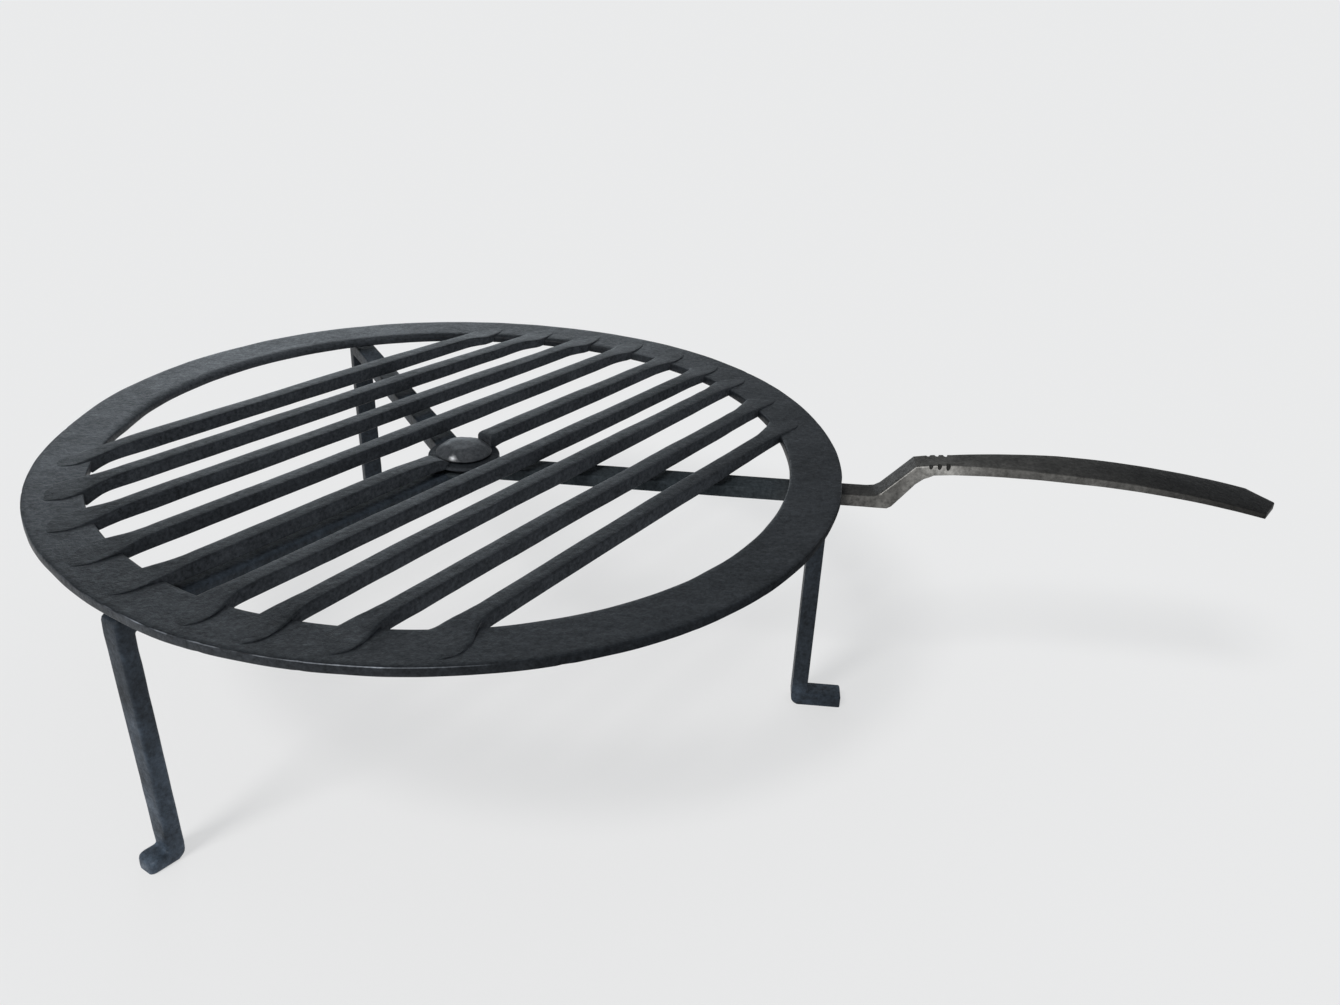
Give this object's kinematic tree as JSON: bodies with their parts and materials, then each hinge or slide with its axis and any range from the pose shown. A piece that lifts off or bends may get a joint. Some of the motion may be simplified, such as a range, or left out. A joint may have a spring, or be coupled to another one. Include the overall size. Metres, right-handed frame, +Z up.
{
  "type": "hearth broiler",
  "caption": "Forged iron hearth broiler: round grid of flat bars riveted to turn on a legged frame, with a cranked arm that flares into a flat arched handle.",
  "frame": {"origin": "floor level, under the middle of the overall length, in the handle's upright middle plane", "axes": "+X along the handle away from the grid, +Z up and parallel to the turning axis"},
  "size_m": [0.5098, 0.33, 0.1265],
  "materials": {
    "grid_iron": "matte forge-black iron with blue-grey sheen",
    "leg_iron": "matte forge-black iron",
    "handle_iron": "hand-worn dark iron, greyer at the crank",
    "pivot_iron": "hammered dark iron, slightly rubbed"
  },
  "bodies": {
    "frame": {"handle": "handle_iron", "handle_leg": "leg_iron", "back_leg": "leg_iron", "front_leg": "leg_iron", "pivot_rivet": "pivot_iron", "pivot_washer": "pivot_iron"},
    "grid": {"grid_ring": "grid_iron", "grid_bar_1": "grid_iron", "grid_bar_2": "grid_iron", "grid_bar_3": "grid_iron", "grid_bar_4": "grid_iron", "grid_bar_5": "grid_iron", "grid_bar_6": "grid_iron", "grid_bar_7": "grid_iron", "grid_bar_8": "grid_iron", "grid_bar_9": "grid_iron"}
  },
  "joints": [
    {"name": "grid_turn", "type": "hinge", "parent": "frame", "child": "grid", "pos_m": [-0.08555, 0, 0.113], "axis": [0, 0, 1], "continuous": true}
  ]
}
